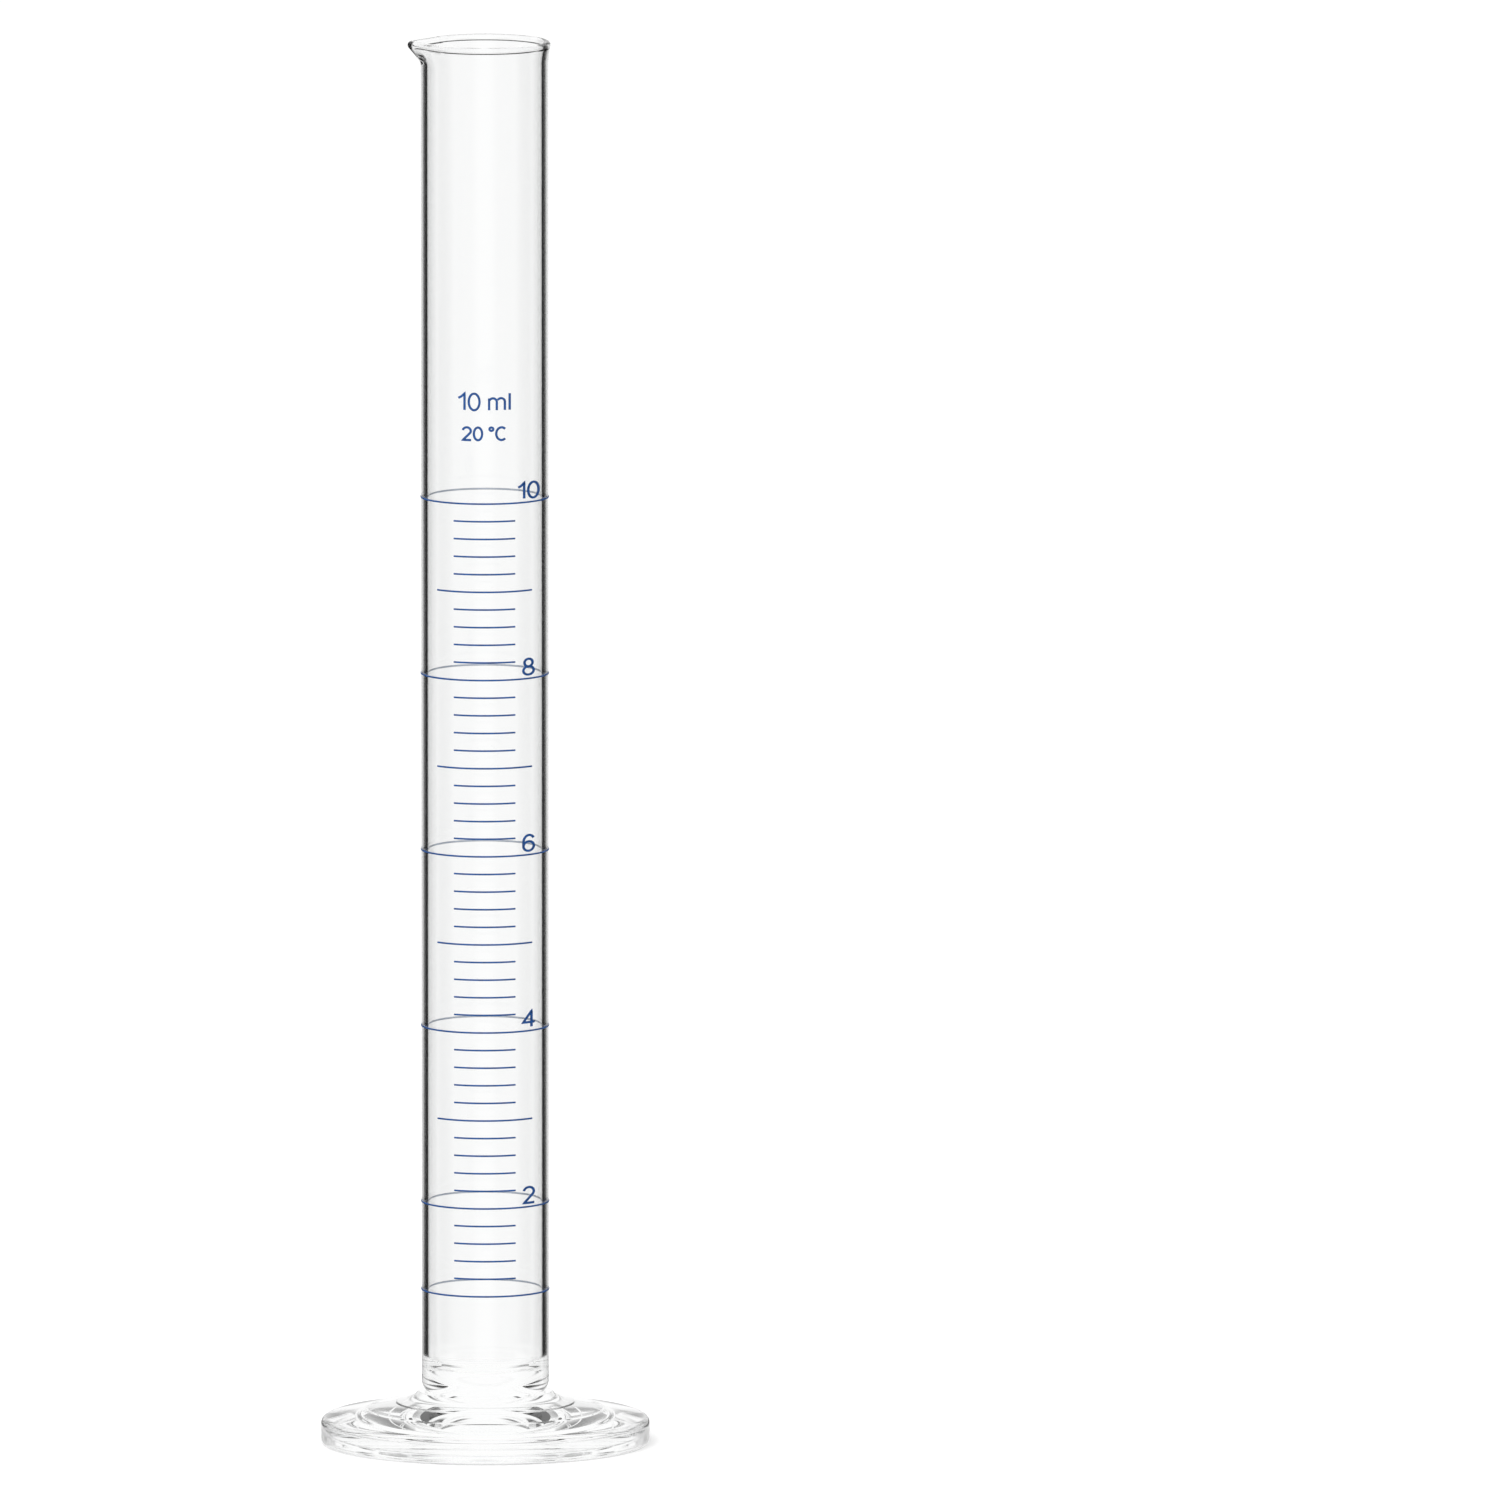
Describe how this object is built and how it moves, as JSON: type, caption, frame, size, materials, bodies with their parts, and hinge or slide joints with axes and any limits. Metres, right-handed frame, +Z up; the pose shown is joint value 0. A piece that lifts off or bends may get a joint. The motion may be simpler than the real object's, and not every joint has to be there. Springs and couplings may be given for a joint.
{
  "type": "graduated cylinder",
  "caption": "Narrow clear glass measuring cylinder on a round stepped foot, with a beaded rim, a pouring beak and a blue volume scale.",
  "frame": {"origin": "middle of the foot's underside, on the surface it stands on", "axes": "+Z up along the axis of the tube, the pouring beak points to -X, the scale faces -Y"},
  "size_m": [0.034, 0.0338, 0.1455],
  "materials": {
    "clear_glass": "clear, smooth, fire-polished at the rim",
    "blue_enamel": "thin fired enamel print, satin"
  },
  "bodies": {
    "root": {"glass_cylinder": "clear_glass", "scale_rings": "blue_enamel", "scale_lines": "blue_enamel"}
  },
  "joints": []
}
